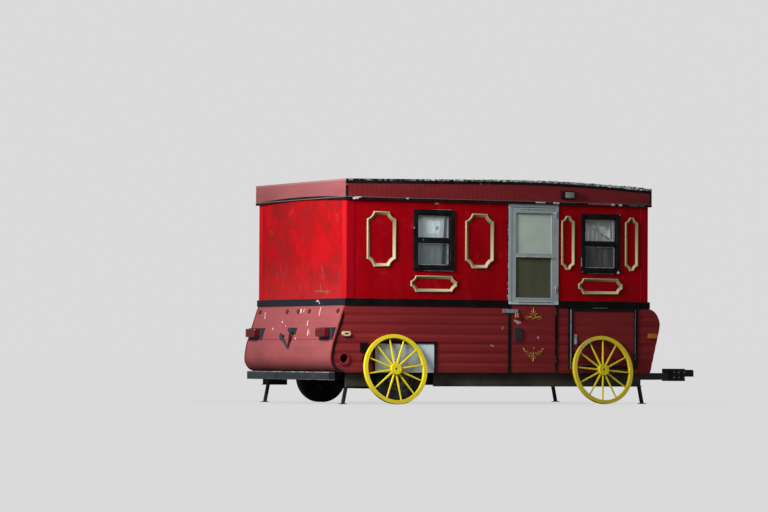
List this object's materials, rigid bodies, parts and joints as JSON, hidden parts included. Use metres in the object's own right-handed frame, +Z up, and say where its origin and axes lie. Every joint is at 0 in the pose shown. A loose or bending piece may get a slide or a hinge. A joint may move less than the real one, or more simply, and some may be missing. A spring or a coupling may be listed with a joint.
{
  "type": "living wagon trailer",
  "caption": "Box trailer dressed as a painted living wagon: ribbed lower body, red upper walls, arched roof band, side door, road wheels, legs and leaning wagon wheels.",
  "frame": {"origin": "on the ground, in the middle of the length and width", "axes": "+X forward to the coupler, -Y to the kerb side with the door, +Z up"},
  "size_m": [5.12, 2.2616, 2.3814],
  "materials": {
    "maroon_metal": "faded maroon enamel on ribbed sheet",
    "red_wall": "bright red paint on plywood, faded on the rear",
    "black_trim": "satin black",
    "roof_sheet": "weathered roof sheet, flaking at the edge",
    "gold_trim": "gold paint",
    "yellow_wood": "bright yellow paint",
    "skirt_grey": "light grey paint",
    "storm_aluminium": "weathered aluminium, ragged white paint on its edge",
    "clear_glass": "clear window glass",
    "screen_mesh": "dark insect mesh",
    "curtain_fabric": "white net",
    "window_white": "chipped white paint on the sashes",
    "chassis_black": "black chassis paint with rust",
    "floor_ply": "bare plywood",
    "galvanised": "weathered zinc",
    "wheel_steel": "silver wheel paint",
    "tyre_rubber": "road tyre",
    "lens_red": "red lens",
    "lens_amber": "amber lens",
    "lamp_white": "milky plastic"
  },
  "bodies": {
    "trailer": {"main_rails": "chassis_black", "tongue_beams": "chassis_black", "cross_members": "chassis_black", "side_sills": "chassis_black", "tongue_head": "chassis_black", "coupler": "chassis_black", "bumper": "chassis_black", "floor_deck": "floor_ply", "wheel_boxes": "chassis_black", "lower_sides": "maroon_metal", "lower_ends": "maroon_metal", "wheel_skirts": "skirt_grey", "side_trims": "black_trim", "hatch_panel": "maroon_metal", "belt": "black_trim", "upper_sides": "red_wall", "upper_ends": "red_wall", "corner_boards": "red_wall", "roof_band": "maroon_metal", "roof_skin": "roof_sheet", "roof_trims": "black_trim", "window_frames": "black_trim", "window_sashes": "window_white", "window_glass": "clear_glass", "curtains": "curtain_fabric", "mouldings": "gold_trim", "door_frame": "storm_aluminium", "door_hinges": "galvanised", "axle_beam": "chassis_black", "leaf_springs": "chassis_black", "spring_hangers": "chassis_black", "leg_brackets": "chassis_black", "wagon_rims": "yellow_wood", "wagon_hubs": "yellow_wood", "wagon_spokes": "yellow_wood", "tail_lamps": "lens_red", "rear_brackets": "black_trim", "marker_lamps": "lens_red", "side_markers": "lens_amber", "porch_lamp": "lamp_white", "side_fittings": "black_trim"},
    "wheel_kerb": {"tyre_kerb": "tyre_rubber", "rim_kerb": "wheel_steel", "hub_kerb": "chassis_black"},
    "wheel_far": {"tyre_far": "tyre_rubber", "rim_far": "wheel_steel", "hub_far": "chassis_black"},
    "storm_door": {"door_upper": "storm_aluminium", "door_glass": "clear_glass", "door_screen": "screen_mesh"},
    "lower_door": {"door_lower": "maroon_metal", "door_hardware": "galvanised"},
    "leg_rear_kerb": {"leg_rear_kerb": "galvanised"},
    "leg_front_kerb": {"leg_front_kerb": "galvanised"},
    "leg_rear_far": {"leg_rear_far": "galvanised"},
    "leg_front_far": {"leg_front_far": "galvanised"}
  },
  "joints": [
    {"name": "wheel_kerb_spin", "type": "hinge", "parent": "trailer", "child": "wheel_kerb", "pos_m": [-1.666, -0.84417, 0.28], "axis": [0, 1, 0], "continuous": true},
    {"name": "wheel_far_spin", "type": "hinge", "parent": "trailer", "child": "wheel_far", "pos_m": [-1.666, 0.95683, 0.28], "axis": [0, 1, 0], "continuous": true},
    {"name": "storm_door_hinge", "type": "hinge", "parent": "trailer", "child": "storm_door", "pos_m": [0.1555, -1.00016, 1.586], "axis": [0, 0, 1], "range_deg": [0, 100]},
    {"name": "lower_door_hinge", "type": "hinge", "parent": "trailer", "child": "lower_door", "pos_m": [0.1605, -0.99416, 0.697], "axis": [0, 0, 1], "range_deg": [0, 100]},
    {"name": "leg_rear_kerb_swing", "type": "hinge", "parent": "trailer", "child": "leg_rear_kerb", "pos_m": [-2.272, -0.87216, 0.29], "axis": [0, -1, 0], "range_deg": [0, 100]},
    {"name": "leg_front_kerb_swing", "type": "hinge", "parent": "trailer", "child": "leg_front_kerb", "pos_m": [1.258, -0.87216, 0.29], "axis": [0, 1, 0], "range_deg": [0, 100]},
    {"name": "leg_rear_far_swing", "type": "hinge", "parent": "trailer", "child": "leg_rear_far", "pos_m": [-2.272, 0.98484, 0.29], "axis": [0, -1, 0], "range_deg": [0, 100]},
    {"name": "leg_front_far_swing", "type": "hinge", "parent": "trailer", "child": "leg_front_far", "pos_m": [1.258, 0.98484, 0.29], "axis": [0, 1, 0], "range_deg": [0, 100]}
  ]
}
